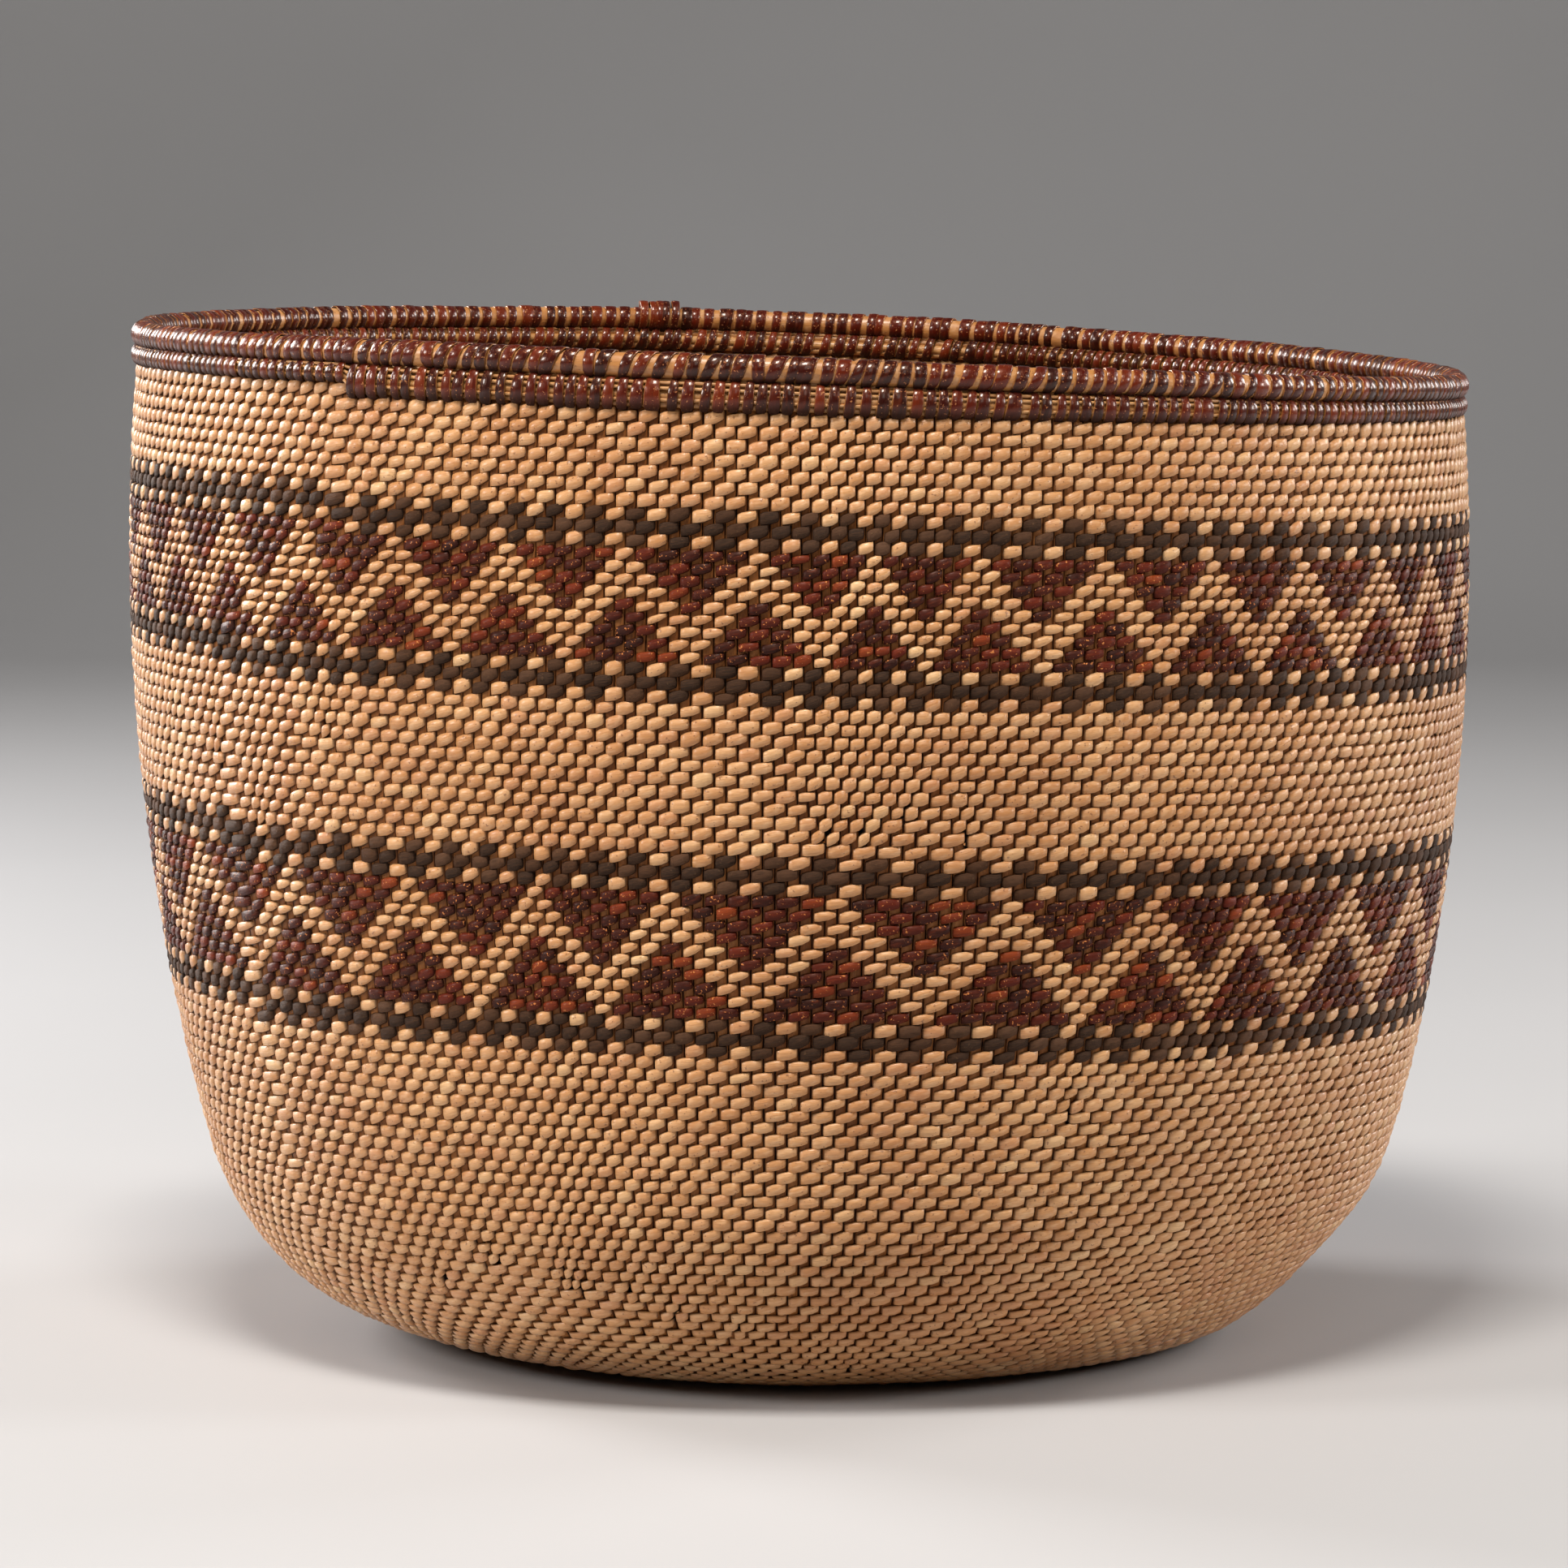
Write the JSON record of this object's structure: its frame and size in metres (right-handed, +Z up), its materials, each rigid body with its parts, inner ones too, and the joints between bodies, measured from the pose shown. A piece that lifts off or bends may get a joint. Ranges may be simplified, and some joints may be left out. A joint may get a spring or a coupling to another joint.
{
  "type": "storage basket",
  "caption": "Deep round twined storage basket with dark striped bands, red-brown triangles and a rim of wrapped hoops.",
  "frame": {"origin": "on the floor, under the middle of the flat base", "axes": "+Z up out of the basket's mouth, +X towards the low side of the rim, +Y towards the splice of the upper hoop at the back"},
  "size_m": [0.4208, 0.4208, 0.323],
  "materials": {
    "sedge_weft": "satin",
    "bulrush_weft": "satin",
    "redbud_weft": "satin",
    "willow_warp": "matte",
    "hoop_rod": "satin",
    "redbud_lashing": "gloss"
  },
  "bodies": {
    "root": {"base_start_knot": "sedge_weft", "base_weft": "sedge_weft", "lower_wall_weft": "sedge_weft", "lower_band_bottom_stripe": "bulrush_weft", "lower_band_triangles": "redbud_weft", "lower_band_top_stripe": "bulrush_weft", "middle_wall_weft": "sedge_weft", "upper_band_bottom_stripe": "bulrush_weft", "upper_band_triangles": "redbud_weft", "upper_band_top_stripe": "bulrush_weft", "top_wall_weft": "sedge_weft", "warp_shoots": "willow_warp", "lower_hoop_rods": "hoop_rod", "upper_hoop_rod": "hoop_rod", "lower_hoop_lashing": "redbud_lashing", "upper_hoop_lashing": "redbud_lashing", "hoop_splice_binding": "redbud_lashing"}
  },
  "joints": []
}
